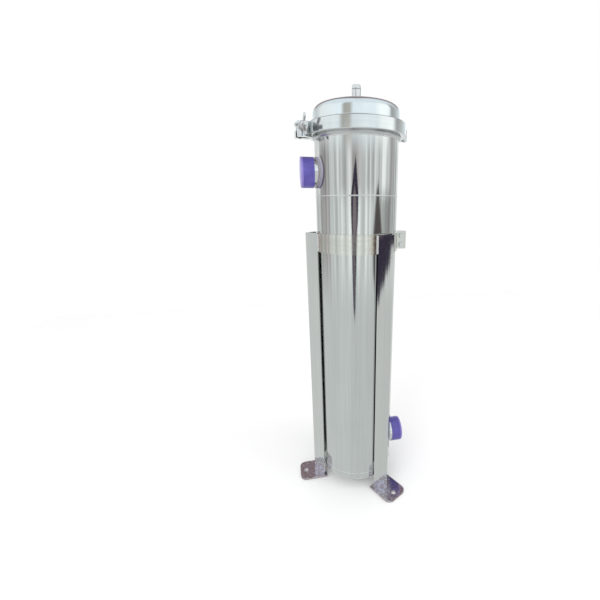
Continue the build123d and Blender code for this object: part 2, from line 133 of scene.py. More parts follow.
# %% Camera
EYE_DISTANCE = 0.954
EYE_HEIGHT = 0.860
EYE_TURN = math.radians(12)
EYE_PITCH = math.radians(16.09)
LENS = 20.14
SENSOR = 36
SHIFT = -0.094

camera_data = bpy.data.cameras.new("camera")
camera_data.lens = LENS
camera_data.sensor_width = SENSOR
camera_data.shift_x = SHIFT
camera = bpy.data.objects.new("camera", camera_data)
camera.location = (-EYE_DISTANCE * math.sin(EYE_TURN), -EYE_DISTANCE * math.cos(EYE_TURN), EYE_HEIGHT)
camera.rotation_euler = (math.pi / 2 - EYE_PITCH, 0, -EYE_TURN)
bpy.context.scene.collection.objects.link(camera)
bpy.context.scene.camera = camera
print("camera at", [round(v, 3) for v in camera.location])

# %% [markdown]
# ## The room
# Polished steel shows the room more than itself. Here the room is a bright one with a few grey
# walls, which a cylinder draws out into long upright stripes. The sky of this scene is such a
# room: its brightness depends on the compass direction, in a few levels one above the other.

# %% Sky helpers
def add_node(tree, kind, **values):
    """New node of a kind, with its settings."""
    node = tree.nodes.new(kind)
    for key, value in values.items():
        setattr(node, key, value)
    return node


def ramp(tree, source, stops, mode="LINEAR"):
    """Colour ramp fed by a socket, with (place, colour) stops."""
    node = add_node(tree, "ShaderNodeValToRGB")
    node.color_ramp.interpolation = mode
    elements = node.color_ramp.elements
    elements[1].position = stops[-1][0]
    elements[0].position = stops[0][0]
    for place, _ in stops[1:-1]:
        elements.new(place)
    for element, (_, colour) in zip(elements, stops):
        element.color = (*colour, 1)
    tree.links.new(source, node.inputs["Fac"])
    return node


def math_node(tree, operation, *values):
    """Math node with sockets or numbers on its inputs."""
    node = add_node(tree, "ShaderNodeMath", operation=operation)
    for index, value in enumerate(values):
        if isinstance(value, (int, float)):
            node.inputs[index].default_value = value
        else:
            tree.links.new(value, node.inputs[index])
    return node.outputs["Value"]


def blend_colour(tree, factor, first, second, mode="MIX"):
    """Mix of two colours or sockets by a factor socket."""
    node = add_node(tree, "ShaderNodeMix", data_type="RGBA", blend_type=mode)
    tree.links.new(factor, node.inputs["Factor"])
    for index, value in ((6, first), (7, second)):
        if isinstance(value, tuple):
            node.inputs[index].default_value = (*value, 1)
        else:
            tree.links.new(value, node.inputs[index])
    return node.outputs[2]


def smooth_rise(tree, source, low, high):
    """0 below a value and 1 above another, with an even slope between."""
    node = add_node(tree, "ShaderNodeMapRange", interpolation_type="SMOOTHSTEP")
    node.inputs["From Min"].default_value = low
    node.inputs["From Max"].default_value = high
    tree.links.new(source, node.inputs["Value"])
    return node.outputs["Result"]


def grey(level, tint=(1.0, 1.0, 1.0)):
    """A grey with a slight tint."""
    return tuple(level * t for t in tint)


print("sky helpers ready")

# %% [markdown]
# ## What stands in the room
# A captured room could light the scene, but then every stripe would be where that room has it.
# Here each level of the room is a short list of compass angles with a brightness and a
# slight tint, so a wall or a window can be moved by changing one number. Dark doorways are
# drawn by their left and right edges, which gives the steel its tall tapering dark streaks.

# %% Levels of the room
WARM = (1.0, 0.95, 0.95)
GREEN = (0.985, 1.015, 1.005)
BLUE = (0.94, 1.02, 1.06)
TAN = (1.03, 1.00, 0.92)
SKY_TOP = (1.10, 1.20, 1.25)
# Rows of compass angle, brightness and tint. The angle is in degrees from the camera's side and
# grows towards +X.
FLOOR_ROOM = [
    (-178, 0.80, GREEN), (-120, 0.86, GREEN), (-70, 0.90, GREEN), (-30, 0.92, GREEN), (0, 0.84, GREEN),
    (30, 0.88, GREEN), (60, 0.84, GREEN), (100, 0.80, GREEN), (160, 0.88, GREEN),
]
LOW_ROOM = [
    (-178, 1.00, GREEN), (-128, 0.85, GREEN), (-96, 0.58, WARM), (-83, 0.72, WARM), (-76, 1.00, GREEN),
    (-62, 0.98, GREEN),
    (-54, 0.85, GREEN), (-46, 1.25, GREEN), (-16, 1.20, GREEN), (8, 1.15, GREEN), (30, 1.30, GREEN),
    (48, 0.95, GREEN), (78, 0.62, GREEN), (90, 0.70, GREEN), (102, 0.40, WARM), (118, 0.65, GREEN),
    (138, 0.85, GREEN),
]
ROOM = [
    (-178, 0.80, GREEN), (-142, 1.10, GREEN), (-122, 1.10, GREEN), (-104, 0.45, WARM), (-92, 0.45, WARM),
    (-70, 1.10, GREEN), (-61, 0.72, GREEN), (-52, 1.20, GREEN), (-35, 0.75, GREEN), (-22, 1.10, GREEN),
    (-8, 0.80, WARM), (5, 0.60, WARM), (20, 1.25, GREEN), (30, 0.82, GREEN), (38, 1.00, GREEN),
    (46, 0.66, GREEN), (55, 1.15, GREEN), (65, 0.80, GREEN), (84, 1.55, GREEN), (97, 1.00, GREEN),
    (111, 0.50, WARM), (128, 0.80, GREEN), (160, 1.00, GREEN),
]
HIGH_ROOM = [
    (-178, 1.10, BLUE), (-122, 0.90, GREEN), (-100, 1.30, GREEN), (-40, 1.38, BLUE), (-31, 0.60, TAN),
    (-16, 0.66, TAN), (-8, 1.28, BLUE), (20, 1.36, BLUE), (48, 1.36, BLUE), (62, 1.58, GREEN),
    (89, 1.58, GREEN), (101, 0.52, GREEN), (118, 0.72, GREEN), (160, 1.30, BLUE),
]
# Dark doorways: a paint, how soft the edges are in degrees, and rows of rise, left and right edge.
# The rise of a direction is the sine of its height over the horizon.
DOORS = [
    ((0.055, 0.045, 0.075), 0.35, (
        (-0.34, -5, -5), (-0.30, -8.5, -2.2), (-0.26, -9.5, -1.6), (-0.22, -10.5, -0.9),
        (-0.17, -11, -0.1), (-0.12, -11.5, 0.3), (-0.05, -14, 5), (0.02, -15, 6), (0.07, -9, 3),
        (0.11, -4, -0.5), (0.13, -2, -2),
    )),
    ((0.34, 0.28, 0.30), 2.5, (
        (-0.33, -5, -5), (-0.29, -7, -4), (-0.17, -9, -3.2), (-0.12, -9.5, -3), (-0.05, -11, 2),
        (0.02, -9, 0), (0.06, -5, -5),
    )),
    ((0.13, 0.11, 0.11), 7.0, (
        (-0.32, 60, 60), (-0.20, 46, 76), (-0.10, 44, 82), (-0.03, 48, 74), (0.03, 53, 69),
        (0.08, 61, 61),
    )),
]
# The rises between which each level of the room takes over from the one below it.
LOW_RISE = (-0.32, -0.10)
MIDDLE_RISE = (-0.01, 0.06)
HIGH_RISE = (0.12, 0.22)
TOP_RISE = (0.40, 0.80)
# Fine stripes: noise waves round the compass, their span, and where they fade in and out.
STRIPE_COUNT = 30
STRIPE_STOPS = [(0.36, grey(0.66)), (0.62, grey(1.16))]
STRIPE_IN = (-0.30, -0.10)
STRIPE_OUT = (0.10, 0.20)
# A dim wall behind the housing: its paint, the shares of a turn from the camera's side where
# it comes in, and the rises.
BACK_WALL = (0.40, 0.34, 0.36)
BACK_TURN = (0.34, 0.42)
BACK_RISE = (0.25, 0.45)


def room_ramp(tree, turn, room):
    """Ramp over the compass made from (angle, level, tint) rows."""
    stops = [((angle + 180) / 360, grey(level, tint)) for angle, level, tint in room]
    return ramp(tree, turn, stops).outputs["Color"]


def edge_angle(tree, rise, rows):
    """Angle of a doorway's edge at the rise of the view direction, from (rise, angle) rows."""
    stops = [((level + 1) / 2, grey((angle + 180) / 360)) for level, angle in rows]
    place = math_node(tree, "MULTIPLY_ADD", rise, 0.5, 0.5)
    return math_node(tree, "MULTIPLY_ADD", ramp(tree, place, stops).outputs["Color"], 360.0, -180.0)


def door(tree, turn, rise, colour, paint, soft, rows):
    """The colour with a doorway painted where the angle lies between its left and right edge."""
    angle = math_node(tree, "MULTIPLY_ADD", turn, 360.0, -180.0)
    left = edge_angle(tree, rise, [(level, low) for level, low, _ in rows])
    right = edge_angle(tree, rise, [(level, high) for level, _, high in rows])
    past_left = math_node(tree, "SUBTRACT", angle, left)
    before_right = math_node(tree, "SUBTRACT", right, angle)
    depth = math_node(tree, "MINIMUM", past_left, before_right)
    return blend_colour(tree, smooth_rise(tree, depth, 0.0, soft), colour, paint)


print("levels", len(FLOOR_ROOM), len(LOW_ROOM), len(ROOM), len(HIGH_ROOM))

# %% [markdown]
# ## The sky of the scene
# The room is laid in from the floor up: each level is blended over the one below it, fine
# stripes multiply the middle, and the doorways are painted last. Only glossy rays see the
# room. Everything else, the background too, meets plain white, so the walls of a real studio
# need no modelling.

# %% Studio sky
def build_sky():
    """World that is plain white, but for the room that the steel reflects."""
    world = bpy.data.worlds.new("studio")
    bpy.context.scene.world = world
    world.use_nodes = True
    tree = world.node_tree
    tree.nodes.clear()
    place = add_node(tree, "ShaderNodeTexCoord")
    turned = add_node(tree, "ShaderNodeMapping", vector_type="POINT")
    turned.inputs["Rotation"].default_value = (0, 0, EYE_TURN)
    tree.links.new(place.outputs["Generated"], turned.inputs["Vector"])
    split = add_node(tree, "ShaderNodeSeparateXYZ")
    tree.links.new(turned.outputs["Vector"], split.inputs["Vector"])
    rise = split.outputs["Z"]
    back = math_node(tree, "MULTIPLY", split.outputs["Y"], -1.0)
    angle = math_node(tree, "ARCTAN2", split.outputs["X"], back)
    turn = math_node(tree, "MULTIPLY_ADD", angle, 1 / (2 * math.pi), 0.5)
    colour = room_ramp(tree, turn, FLOOR_ROOM)
    levels = (
        (LOW_RISE, room_ramp(tree, turn, LOW_ROOM)), (MIDDLE_RISE, room_ramp(tree, turn, ROOM)),
        (HIGH_RISE, room_ramp(tree, turn, HIGH_ROOM)), (TOP_RISE, SKY_TOP),
    )
    for span, upper in levels:
        colour = blend_colour(tree, smooth_rise(tree, rise, *span), colour, upper)
    stripes = add_node(tree, "ShaderNodeTexNoise", noise_dimensions="1D")
    stripes.inputs["Scale"].default_value = STRIPE_COUNT
    stripes.inputs["Detail"].default_value = 2.0
    tree.links.new(turn, stripes.inputs["W"])
    spread = ramp(tree, stripes.outputs["Fac"], STRIPE_STOPS)
    fade_in, fade_out = (smooth_rise(tree, rise, *span) for span in (STRIPE_IN, STRIPE_OUT))
    middle = math_node(tree, "SUBTRACT", fade_in, fade_out)
    colour = blend_colour(tree, middle, colour, spread.outputs["Color"], "MULTIPLY")
    for paint, soft, rows in DOORS:
        colour = door(tree, turn, rise, colour, paint, soft, rows)
    aside = math_node(tree, "ABSOLUTE", math_node(tree, "SUBTRACT", turn, 0.5))
    wall_turn, wall_rise = smooth_rise(tree, aside, *BACK_TURN), smooth_rise(tree, rise, *BACK_RISE)
    colour = blend_colour(tree, math_node(tree, "MULTIPLY", wall_turn, wall_rise), colour, BACK_WALL)
    shown = add_node(tree, "ShaderNodeBackground")
    tree.links.new(colour, shown.inputs["Color"])
    plain = add_node(tree, "ShaderNodeBackground")
    plain.inputs["Color"].default_value = (1, 1, 1, 1)
    ray = add_node(tree, "ShaderNodeLightPath")
    pick = add_node(tree, "ShaderNodeMixShader")
    tree.links.new(ray.outputs["Is Glossy Ray"], pick.inputs["Fac"])
    tree.links.new(plain.outputs["Background"], pick.inputs[1])
    tree.links.new(shown.outputs["Background"], pick.inputs[2])
    out = add_node(tree, "ShaderNodeOutputWorld")
    tree.links.new(pick.outputs["Shader"], out.inputs["Surface"])


build_sky()
bpy.context.scene.view_settings.view_transform = "Standard"
print("sky ready with", len(DOORS), "dark doorways")

# %% [markdown]
# ## Floor and lights
# A pale floor and two large soft lights keep the scene plain. The lights are wide so that the
# shadows under the feet stay soft, and the steel sees neither them nor the floor.

# %% Floor and lights
FLOOR_HALF = 2.0
FLOOR_PAINT = (0.93, 0.93, 0.93, 1)
LIGHT_SIZE = (1.6, 1.6)
LIGHT_TARGET = (0, 0, 0.6)
KEY_PLACE, KEY_POWER = (-1.8, -2.2, 2.6), 26
FILL_PLACE, FILL_POWER = (2.4, -1.2, 2.0), 16


def build_floor():
    """Wide pale floor under the feet: a flat square of four quads."""
    steps = np.linspace(-FLOOR_HALF, FLOOR_HALF, 3)
    x, y = np.meshgrid(steps, steps, indexing="ij")
    points = np.stack([x, y, np.zeros_like(x)], axis=-1)
    floor = make_piece("floor", points, wrap_columns=False)
    paint = bpy.data.materials.new("floor_paint")
    paint.use_nodes = True
    surface = paint.node_tree.nodes["Principled BSDF"]
    surface.inputs["Base Color"].default_value = FLOOR_PAINT
    surface.inputs["Roughness"].default_value = 0.9
    surface.inputs["Specular IOR Level"].default_value = 0.1
    floor.data.materials.append(paint)
    floor.visible_glossy = False


def soft_light(name, place, power):
    """Square area light aimed at the middle of the housing."""
    data = bpy.data.lights.new(name, "AREA")
    data.shape = "RECTANGLE"
    data.size, data.size_y = LIGHT_SIZE
    data.energy = power
    light = bpy.data.objects.new(name, data)
    light.location = place
    light.rotation_euler = (Vector(LIGHT_TARGET) - Vector(place)).to_track_quat("-Z", "Y").to_euler()
    light.visible_glossy = False
    bpy.context.scene.collection.objects.link(light)
    return light


build_floor()
key = soft_light("key", KEY_PLACE, KEY_POWER)
fill = soft_light("fill", FILL_PLACE, FILL_POWER)
print("lights", key.name, fill.name)

# %% [markdown]
# ## Steel
# Every steel finish here is the same metal at a different polish. Fine upright or level scratches
# come from noise stretched up to fifty times along one direction, and a little of it goes to
# the bump. Where a piece was welded, heat leaves a straw, brown and blue tint. A painted
# texture could carry it, but here it is laid in by height or angle and broken up with noise,
# so it stays with the weld if the housing is resized.

# %% Finish helpers
def fresh_material(name):
    """Material with an empty node tree but for the shader and the output."""
    paint = bpy.data.materials.new(name)
    paint.use_nodes = True
    return paint, paint.node_tree, paint.node_tree.nodes["Principled BSDF"]


def noise(tree, scale, detail, stretch=(1, 1, 1), roughness=0.5):
    """Noise on the object's own coordinates, stretched along its axes."""
    place = add_node(tree, "ShaderNodeTexCoord")
    turned = add_node(tree, "ShaderNodeMapping")
    turned.inputs["Scale"].default_value = stretch
    tree.links.new(place.outputs["Object"], turned.inputs["Vector"])
    node = add_node(tree, "ShaderNodeTexNoise")
    node.inputs["Scale"].default_value = scale
    node.inputs["Detail"].default_value = detail
    node.inputs["Roughness"].default_value = roughness
    tree.links.new(turned.outputs["Vector"], node.inputs["Vector"])
    return node.outputs["Fac"]


def along_axes(tree):
    """The X, Y and Z of the surface point in the object's own coordinates."""
    place = add_node(tree, "ShaderNodeTexCoord")
    split = add_node(tree, "ShaderNodeSeparateXYZ")
    tree.links.new(place.outputs["Object"], split.inputs["Vector"])
    return split.outputs["X"], split.outputs["Y"], split.outputs["Z"]


def shades(tree, source, low, high):
    """Greys from a noise: low and high are each a (noise, level) pair."""
    return ramp(tree, source, [(low[0], grey(low[1])), (high[0], grey(high[1]))]).outputs["Color"]


def fall_off(tree, away, reach):
    """1 - away / reach, held between 0 and 1."""
    near = math_node(tree, "SUBTRACT", 1.0, math_node(tree, "DIVIDE", away, reach))
    near.node.use_clamp = True
    return near


def bump(tree, source, strength, depth):
    """Bump of a height source, with its strength and its depth in metres."""
    node = add_node(tree, "ShaderNodeBump")
    node.inputs["Strength"].default_value = strength
    node.inputs["Distance"].default_value = depth
    tree.links.new(source, node.inputs["Height"])
    return node


print("finish helpers ready")

# %% [markdown]
# ## Colours of heat and painted reflections
# The legs and the foot plates carry heat colours beside their welds: violet and blue where the
# steel got hottest, brown and straw further out. Round each stub the shell is rougher, in a disc
# whose pale colour and dark rim are a painted reflection of the stub and its shaded cap, and the
# band shows brown marks beside the toes of the legs. Each of these is a colour laid over the
# steel by a distance.

# %% Heat tints and painted port reflections
VIOLET = (
    (0.0, (0.60, 0.60, 0.60)), (0.3, (0.52, 0.50, 0.57)), (0.6, (0.66, 0.66, 0.78)),
    (1.0, (0.80, 0.82, 0.90)),
)
FOOT_HEAT = (
    (0.0, (0.54, 0.49, 0.46)), (0.4, (0.42, 0.35, 0.33)), (0.7, (0.48, 0.44, 0.50)),
    (1.0, (0.68, 0.68, 0.74)),
)
HEAT_WOBBLE = 0.4
ZONE_R = 0.057
ZONE_EDGE = 0.004
ZONE_LEVEL = (port_r * 0.9, port_r * 1.15)
# The pale disc and its dark rim round each stub are a painted reflection of the stub and its shaded cap.
ZONE_STUB_REFLECTION = (0.72, 0.71, 0.71)
ZONE_CAP_REFLECTION = (0.10, 0.07, 0.07)
ZONE_ROUGH = 0.42
FIRST_LEG = 60.0
HALF_LEG_STEP = 60.0
TOE_TINT_AT = 19.0
TOE_TINT_HALF = 7.0
TOE_PAINT = (0.40, 0.31, 0.25)


def heat_tint(tree, base, centre, width, colours):
    """Base colour with heat colours round a height, fading over a width, broken up with noise."""
    rough = noise(tree, 60, 3)
    wobble = width * HEAT_WOBBLE * 2
    shift = math_node(tree, "MULTIPLY", math_node(tree, "SUBTRACT", rough, 0.5), wobble)
    away = math_node(tree, "SUBTRACT", math_node(tree, "ADD", along_axes(tree)[2], shift), centre)
    heat = fall_off(tree, math_node(tree, "ABSOLUTE", away), width)
    spots = shades(tree, noise(tree, 130, 4), (0.36, 0.25), (0.62, 1.0))
    patchy = math_node(tree, "MULTIPLY", heat, spots)
    return blend_colour(tree, heat, base, ramp(tree, patchy, colours).outputs["Color"])


def port_reflection_zone(tree, base, rough, sign, z):
    """Rougher disc on the shell beside a stub, painted with a reflection of the stub (pale) and its shaded
    cap (dark rim), by distance from the stub's axis.

    The distance is sqrt(y^2 + (z - z0)^2). Only the stub's side of the shell is painted, and
    not above or below the stub.
    """
    x, y, height = along_axes(tree)
    up = math_node(tree, "SUBTRACT", height, z)
    squares = [math_node(tree, "MULTIPLY", value, value) for value in (y, up)]
    away = math_node(tree, "SQRT", math_node(tree, "ADD", *squares))
    here = math_node(tree, "GREATER_THAN", math_node(tree, "MULTIPLY", x, sign), 0.0)
    inside = math_node(tree, "SUBTRACT", 1.0, smooth_rise(tree, away, ZONE_R - ZONE_EDGE, ZONE_R))
    from_rim = math_node(tree, "ABSOLUTE", math_node(tree, "SUBTRACT", away, ZONE_R))
    edge = fall_off(tree, from_rim, ZONE_EDGE)
    level = smooth_rise(tree, math_node(tree, "ABSOLUTE", up), *ZONE_LEVEL)
    here = math_node(tree, "MULTIPLY", here, math_node(tree, "SUBTRACT", 1.0, level))
    inside, edge = (math_node(tree, "MULTIPLY", part, here) for part in (inside, edge))
    # Painted reflection: pale where the stub shows in the shell, dark at the rim where its shaded cap
    # shows.
    base = blend_colour(tree, inside, base, ZONE_STUB_REFLECTION)
    base = blend_colour(tree, edge, base, ZONE_CAP_REFLECTION)
    either = math_node(tree, "MAXIMUM", inside, edge)
    return base, math_node(tree, "MULTIPLY_ADD", either, ZONE_ROUGH, rough)


def toe_tint(tree, base):
    """Brown on the band beside the leg toes, by degrees from the nearest leg's middle.

    The legs stand evenly round the axis, so that distance is a triangle wave of the angle.
    """
    x, y, _ = along_axes(tree)
    angle = math_node(tree, "DEGREES", math_node(tree, "ARCTAN2", y, x))
    from_first = math_node(tree, "SUBTRACT", angle, FIRST_LEG)
    from_leg = math_node(tree, "PINGPONG", from_first, HALF_LEG_STEP)
    away = math_node(tree, "ABSOLUTE", math_node(tree, "SUBTRACT", from_leg, TOE_TINT_AT))
    near = fall_off(tree, away, TOE_TINT_HALF)
    spots = shades(tree, noise(tree, 90, 4), (0.3, 0.3), (0.6, 1.0))
    return blend_colour(tree, math_node(tree, "MULTIPLY", near, spots), base, TOE_PAINT)


print("heat tints ready, port zone radius", ZONE_R)

# %% [markdown]
# ## The steel finishes
# One function makes them all: two close greys mixed by the grain, a roughness that follows the
# same grain, and a fine bump. The shells also get slow shallow waves, because rolled sheet
# is never quite round, and these waves bend the long reflections as on the real vessel.

# %% Steel finishes
ROUND = (1, 1, 0.02)
LEVEL = (0.05, 0.05, 1)
EVEN = (1, 1, 1)
WAVES = (1, 1, 0.12)
GRAIN_DEPTH = 0.0004
WAVE_DEPTH = 0.002


def steel(
    name, colour, shade, polish, grain, grain_scale, relief, tint=None, wave=0.0, port=None, toes=False,
):
    """Metal with a grain of stretched noise, a polish and a relief.

    The tint is (height, width, colours), the wave is the strength of slow waves, and the port is
    (side, height) of a stub, round which the shell gets a rougher disc and a painted reflection.
    """
    paint, tree, surface = fresh_material(name)
    streak = noise(tree, grain_scale, 4, grain)
    cloud = noise(tree, 9, 3)
    base = blend_colour(tree, shades(tree, streak, (0.3, 0.0), (0.7, 1.0)), colour, shade)
    base = blend_colour(tree, shades(tree, cloud, (0.35, 0.0), (0.75, 0.6)), base, shade)
    if tint is not None:
        base = heat_tint(tree, base, *tint)
    if toes:
        base = toe_tint(tree, base)
    rough = shades(tree, streak, (0.25, polish[0]), (0.8, polish[1]))
    if port is not None:
        base, rough = port_reflection_zone(tree, base, rough, *port)
    tree.links.new(base, surface.inputs["Base Color"])
    tree.links.new(rough, surface.inputs["Roughness"])
    surface.inputs["Metallic"].default_value = 1.0
    lift = bump(tree, streak, relief, GRAIN_DEPTH)
    if wave:
        slow = bump(tree, noise(tree, 26, 2, WAVES), wave, WAVE_DEPTH)
        tree.links.new(slow.outputs["Normal"], lift.inputs["Normal"])
    tree.links.new(lift.outputs["Normal"], surface.inputs["Normal"])
    return paint


mirror_shell = steel(
    "mirror_shell", (0.58, 0.60, 0.595), (0.54, 0.555, 0.55), (0.04, 0.08), ROUND, 160, 0.06,
    wave=0.12, port=(-1, inlet_z),
)
satin_shell = steel(
    "satin_shell", (0.58, 0.60, 0.59), (0.51, 0.53, 0.52), (0.06, 0.12), ROUND, 160, 0.08,
    wave=0.10, port=(1, outlet_z),
)
stub_steel = steel("stub_steel", (0.60, 0.62, 0.63), (0.55, 0.56, 0.56), (0.10, 0.16), LEVEL, 120, 0.06)
lid_steel = steel("lid_steel", (0.60, 0.63, 0.64), (0.57, 0.60, 0.61), (0.06, 0.10), EVEN, 60, 0.04)
satin_flange = steel("satin_flange", (0.58, 0.59, 0.59), (0.52, 0.53, 0.53), (0.30, 0.38), LEVEL, 120, 0.06)
clamp_steel = steel("clamp_steel", (0.60, 0.625, 0.63), (0.55, 0.57, 0.57), (0.08, 0.14), LEVEL, 120, 0.06)
frame_steel = steel(
    "frame_steel", (0.595, 0.61, 0.60), (0.55, 0.56, 0.55), (0.03, 0.06), ROUND, 180, 0.05,
    tint=(foot_top_z, 0.036, VIOLET),
)
band_steel = steel(
    "band_steel", (0.60, 0.62, 0.585), (0.55, 0.56, 0.525), (0.10, 0.18), LEVEL, 140, 0.06, toes=True,
)
foot_steel = steel(
    "foot_steel", (0.50, 0.46, 0.44), (0.40, 0.36, 0.40), (0.14, 0.26), EVEN, 70, 0.10,
    tint=(foot_top_z, 0.012, FOOT_HEAT),
)
bolt_steel = steel("bolt_steel", (0.66, 0.66, 0.66), (0.56, 0.56, 0.56), (0.28, 0.38), EVEN, 300, 0.05)
inner_steel = steel("inner_steel", (0.56, 0.57, 0.56), (0.48, 0.48, 0.47), (0.34, 0.48), EVEN, 90, 0.10)
print("steel finishes", len(bpy.data.materials))

# %% [markdown]
# ## Plastic, rubber and felt
# The port caps are thin moulded polyethylene, with a soft sheen, a faint cloudiness and a painted
# highlight along their outer end. The seals are matt rubber. The bag is needle felt: short fibres
# in every direction, so its bump is fine noise and its sheen is strong.

# %% Soft finishes
# The paler band at the outer end of each cap is a painted highlight along its rounded edge.
RIM_HIGHLIGHT = (0.26, 0.21, 0.56)
RIM_DEPTH = 0.005
RIM_EDGE = 0.001
SKIN_SPREAD = 0.06
SKIN_DEPTH = 0.0003


def plastic(name, colour, shade, rough, relief, highlight_at=None):
    """Moulded plastic with cloudy colour and a fine skin, with a painted highlight past a distance along X.
    """
    paint, tree, surface = fresh_material(name)
    cloud = noise(tree, 45, 4)
    base = blend_colour(tree, shades(tree, cloud, (0.3, 0.0), (0.72, 1.0)), colour, shade)
    if highlight_at is not None:
        # Painted highlight: paler colour past a distance along X, at the cap's rounded end.
        away = math_node(tree, "ABSOLUTE", along_axes(tree)[0])
        base = blend_colour(tree, smooth_rise(tree, away, highlight_at - RIM_EDGE, highlight_at), base, RIM_HIGHLIGHT)
    tree.links.new(base, surface.inputs["Base Color"])
    skin = shades(tree, cloud, (0.2, rough - SKIN_SPREAD), (0.8, rough + SKIN_SPREAD))
    tree.links.new(skin, surface.inputs["Roughness"])
    lift = bump(tree, noise(tree, 900, 2), relief, SKIN_DEPTH)
    tree.links.new(lift.outputs["Normal"], surface.inputs["Normal"])
    return paint


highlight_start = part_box("outlet_cap")[1][0] - RIM_DEPTH
cap_plastic = plastic("cap_plastic", (0.085, 0.070, 0.33), (0.125, 0.10, 0.42), 0.34, 0.12, highlight_start)
seal_rubber = plastic("seal_rubber", (0.012, 0.012, 0.012), (0.022, 0.021, 0.02), 0.6, 0.3)
collar_plastic = plastic("collar_plastic", (0.78, 0.78, 0.72), (0.70, 0.70, 0.64), 0.5, 0.2)
bag_felt = plastic("bag_felt", (0.80, 0.79, 0.74), (0.68, 0.67, 0.61), 0.92, 1.0)
bag_felt.node_tree.nodes["Principled BSDF"].inputs["Sheen Weight"].default_value = 0.4
print("soft finishes ready")

# %% [markdown]
# ## Weld metal
# A bead is rougher than the sheet beside it. The seams of the vessel were brushed after welding;
# their paler steel, also on the toe and vent beads, is a painted highlight along the bead. The
# beads at the stubs and the feet were left as welded, so they keep a brown and violet skin. Two
# more calls of the same steel function give both.

# %% Weld finishes
# A paler colour than the sheet: a painted highlight along each bead that uses this finish.
weld_steel_highlight = steel("weld_steel_highlight", (0.72, 0.73, 0.72), (0.58, 0.58, 0.57), (0.22, 0.36), EVEN, 260, 0.25)
tinted_weld = steel("tinted_weld", (0.50, 0.45, 0.44), (0.30, 0.25, 0.30), (0.30, 0.42), EVEN, 240, 0.3)
print("weld finishes ready")

# %% [markdown]
# ## Dressing the CAD pieces
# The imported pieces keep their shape. Each one only gets the finish that its real part has: a
# table names the finish of each node, the legs and the feet go by the first word of their
# names, and whatever is left is a fastener or a small fitting. Painting by node keeps the table
# short and leaves no piece bare.

# %% Finishes on the nodes
FINISHES = {
    "main_shell": satin_shell, "bottom_head": satin_shell,
    "upper_shell": mirror_shell, "inlet_nipple": stub_steel, "outlet_nipple": stub_steel,
    "body_flange": satin_flange, "lid_flange": lid_steel, "lid_dome": lid_steel,
    "clamp_half_a": clamp_steel, "clamp_half_b": clamp_steel,
    "support_band": band_steel, "inlet_cap": cap_plastic, "outlet_cap": cap_plastic,
    "lid_gasket": seal_rubber, "basket_seal": seal_rubber, "bag_collar": collar_plastic,
    "basket": inner_steel, "basket_rim": inner_steel, "hold_down": inner_steel,
    "seat_ring": inner_steel, "filter_bag": bag_felt,
}
for name, node in frame["nodes"].items():
    kind = name.split("_")[0]
    finish = FINISHES.get(name, {"leg": frame_steel, "foot": foot_steel}.get(kind, bolt_steel))
    for slot in node.material_slots:
        slot.material = finish
    if not node.material_slots:
        node.data.materials.append(finish)
print("nodes dressed", len(frame["nodes"]))

# %% [markdown]
# ## The domed lid
# The lid is a dished head: a short straight wall, a tight knuckle and a wide crown that meet
# without a corner. A squashed sphere would be quicker, but its shoulder is too soft. Here the
# centre of the knuckle lies one knuckle radius inside the wall, and the crown's centre is on
# the axis, so that both arcs share a tangent where they meet.

# %% Domed lid
LID_STRAIGHT = 0.018
LID_KNUCKLE_R = 0.020
LID_CROWN_R = 0.300
LID_WALL = 0.003
VENT_ROOT = 0.0002
LID_SHARP = math.radians(40)


def dished_profile(radius, knuckle, crown, hole, steps=28):
    """Profile (r, z) from the straight wall to a hole, with z from the line where the knuckle starts.

    The crown centre lies at -sqrt((crown - knuckle)^2 - (radius - knuckle)^2) below that line.
    """
    drop = math.sqrt((crown - knuckle) ** 2 - (radius - knuckle) ** 2)
    meet = math.atan2(radius - knuckle, drop)
    turn = np.linspace(math.pi / 2, meet, steps)
    bend = np.stack([radius - knuckle + knuckle * np.sin(turn), knuckle * np.cos(turn)], axis=1)
    fall = np.linspace(meet, math.asin(hole / crown), steps)[1:]
    top = np.stack([crown * np.sin(fall), crown * np.cos(fall) - drop], axis=1)
    return np.concatenate([bend, top])


def domed_lid(steps=256):
    """Lid of one wall: the profile r(s), z(s) turned about Z. Returns the height of its vent hole.

    The outer and the inner profile are joined at the rim and at the hole.
    """
    hole = middle_and_half("vent_socket")[1].x - VENT_ROOT
    outer = dished_profile(lid_r, LID_KNUCKLE_R, LID_CROWN_R, hole)
    inner = dished_profile(lid_r - LID_WALL, LID_KNUCKLE_R - LID_WALL, LID_CROWN_R - LID_WALL, hole)
    tangent = lid_seam_z + LID_STRAIGHT
    rim = np.array([[lid_r - LID_WALL, -LID_STRAIGHT], [lid_r, -LID_STRAIGHT]])
    profile = np.concatenate([rim, outer, inner[::-1]])
    t = np.linspace(0, 2 * np.pi, steps, endpoint=False)[None, :]
    r, z = profile[:, 0][:, None], profile[:, 1][:, None] + tangent
    points = np.stack([r * np.cos(t), r * np.sin(t), z + 0 * t], axis=-1)
    piece = make_piece("domed_lid", points, wrap_rows=True)
    face_outwards(piece)
    piece.data.set_sharp_from_angle(angle=LID_SHARP)
    piece.data.materials.append(lid_steel)
    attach(piece, "housing")
    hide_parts("lid_dome")
    return tangent + outer[-1, 1]


lid_top_z = domed_lid()
print("lid top at", round(lid_top_z, 4))

# %% [markdown]
# ## Weld beads
# Each joint of the vessel is a TIG weld: a low rounded bead, a few millimetres wide, with fine
# crescent ripples from the dabs of the filler rod. The bead is a half-round section carried
# round a path, and its height rises and falls with every ripple.

# %% Bead helper
BEAD_SIDES = 10
BEAD_ROOT = 0.5
RIPPLE = 0.10


def ripple(length, count):
    """1 + a (1 - phase)^2, a small wave that starts sharply count times along a unit length."""
    phase = (length * count) % 1.0
    return 1.0 + RIPPLE * (1.0 - phase) ** 2


